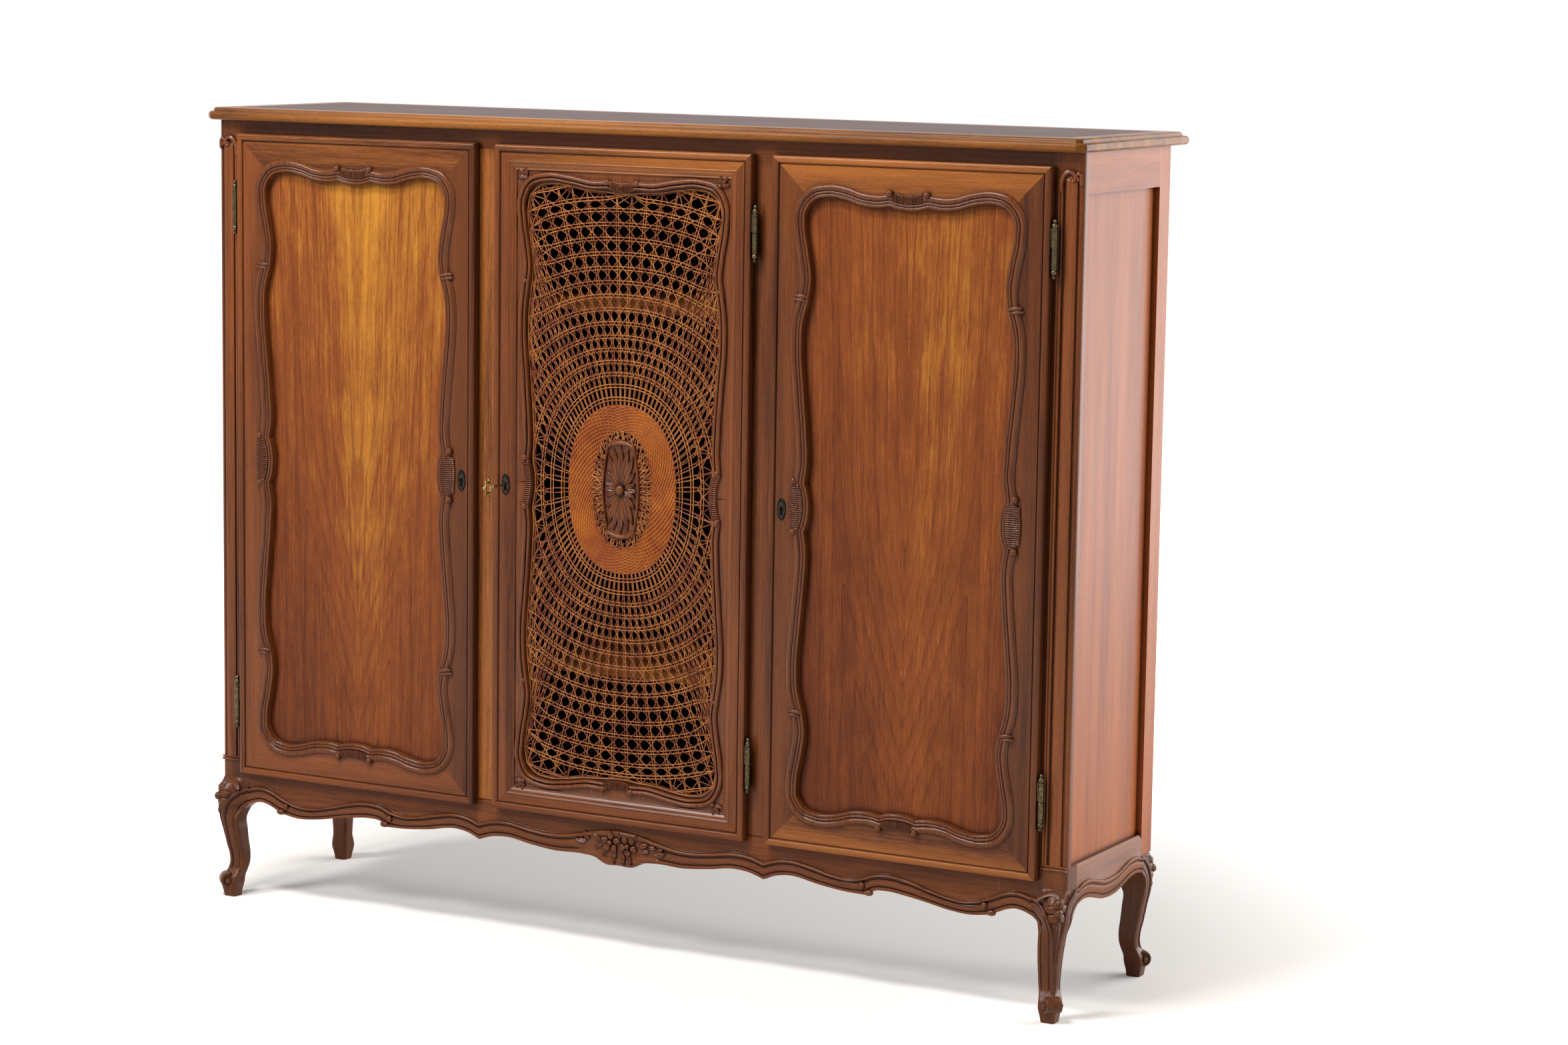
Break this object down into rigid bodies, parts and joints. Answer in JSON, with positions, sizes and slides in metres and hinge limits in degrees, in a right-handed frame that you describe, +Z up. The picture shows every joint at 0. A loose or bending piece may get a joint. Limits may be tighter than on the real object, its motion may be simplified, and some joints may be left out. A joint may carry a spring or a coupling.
{
  "type": "credenza",
  "caption": "Tall carved wooden credenza on cabriole legs, with hinged panelled side doors, a caned middle door, locks, shelves and a stepped top.",
  "frame": {"origin": "on the floor, under the middle of the whole object's box", "axes": "+X to the right along the front, +Y to the back, +Z up"},
  "size_m": [1.7236, 0.485, 1.447],
  "materials": {
    "case_wood": "satin varnish on walnut-brown hardwood",
    "top_wood": "satin varnish, darker",
    "panel_wood": "satin varnish on golden-brown veneer",
    "carved_wood": "satin varnish, carved and darkened",
    "inner_wood": "plain oiled",
    "cane": "varnished rattan cane",
    "aged_brass": "aged brass",
    "dark_bronze": "dark patinated bronze",
    "steel": "plain steel"
  },
  "bodies": {
    "carcass": {"top_board": "top_wood", "front_top_rail": "case_wood", "left_front_post": "case_wood", "right_front_post": "case_wood", "left_rear_post": "case_wood", "right_rear_post": "case_wood", "left_mullion": "case_wood", "right_mullion": "case_wood", "front_apron": "case_wood", "left_apron": "case_wood", "right_apron": "case_wood", "rear_rail": "inner_wood", "left_side_rail": "case_wood", "right_side_rail": "case_wood", "left_side_panel": "panel_wood", "right_side_panel": "panel_wood", "back_panel": "inner_wood", "bottom_board": "inner_wood", "left_partition": "inner_wood", "right_partition": "inner_wood", "shelves": "inner_wood", "shelf_cleats": "inner_wood", "front_left_leg": "carved_wood", "front_right_leg": "carved_wood", "rear_left_leg": "carved_wood", "rear_right_leg": "carved_wood", "hinge_post_leaves": "aged_brass", "hinge_pins": "steel"},
    "left_door": {"left_hinge_stile": "case_wood", "left_lock_stile": "case_wood", "left_top_rail": "case_wood", "left_bottom_rail": "case_wood", "left_escutcheon": "dark_bronze", "left_lock_case": "steel", "left_hinge_leaves": "aged_brass", "left_panel": "panel_wood", "left_moulding": "carved_wood"},
    "middle_door": {"middle_hinge_stile": "case_wood", "middle_lock_stile": "case_wood", "middle_top_rail": "case_wood", "middle_bottom_rail": "case_wood", "middle_escutcheon": "dark_bronze", "middle_lock_case": "steel", "middle_hinge_leaves": "aged_brass", "middle_cane_border": "carved_wood", "middle_cane_panel": "cane", "middle_medallion": "carved_wood"},
    "right_door": {"right_hinge_stile": "case_wood", "right_lock_stile": "case_wood", "right_top_rail": "case_wood", "right_bottom_rail": "case_wood", "right_escutcheon": "dark_bronze", "right_lock_case": "steel", "right_hinge_leaves": "aged_brass", "right_panel": "panel_wood", "right_moulding": "carved_wood"},
    "left_bolt": {"left_bolt": "steel"},
    "middle_bolt": {"middle_bolt": "steel"},
    "right_bolt": {"right_bolt": "steel"},
    "key": {"key": "aged_brass"}
  },
  "joints": [
    {"name": "left_door_hinge", "type": "hinge", "parent": "carcass", "child": "left_door", "pos_m": [-0.80725, -0.1695, 0.81825], "axis": [0, 0, -1], "range_deg": [0, 100]},
    {"name": "middle_door_hinge", "type": "hinge", "parent": "carcass", "child": "middle_door", "pos_m": [0.26025, -0.1695, 0.81825], "axis": [0, 0, 1], "range_deg": [0, 100]},
    {"name": "right_door_hinge", "type": "hinge", "parent": "carcass", "child": "right_door", "pos_m": [0.80725, -0.1695, 0.81825], "axis": [0, 0, 1], "range_deg": [0, 100]},
    {"name": "left_bolt_slide", "type": "slide", "parent": "left_door", "child": "left_bolt", "axis": [1, 0, 0], "range_m": [0, 0.009]},
    {"name": "middle_bolt_slide", "type": "slide", "parent": "middle_door", "child": "middle_bolt", "axis": [-1, 0, 0], "range_m": [0, 0.009]},
    {"name": "right_bolt_slide", "type": "slide", "parent": "right_door", "child": "right_bolt", "axis": [-1, 0, 0], "range_m": [0, 0.009]},
    {"name": "key_turn", "type": "hinge", "parent": "middle_door", "child": "key", "pos_m": [-0.22775, -0.18, 0.812], "axis": [0, 1, 0], "range_deg": [0, 360]}
  ],
  "couplings": [
    {"joint": "middle_bolt_slide", "follows": "key_turn", "m_per_rad": 0.00143}
  ]
}
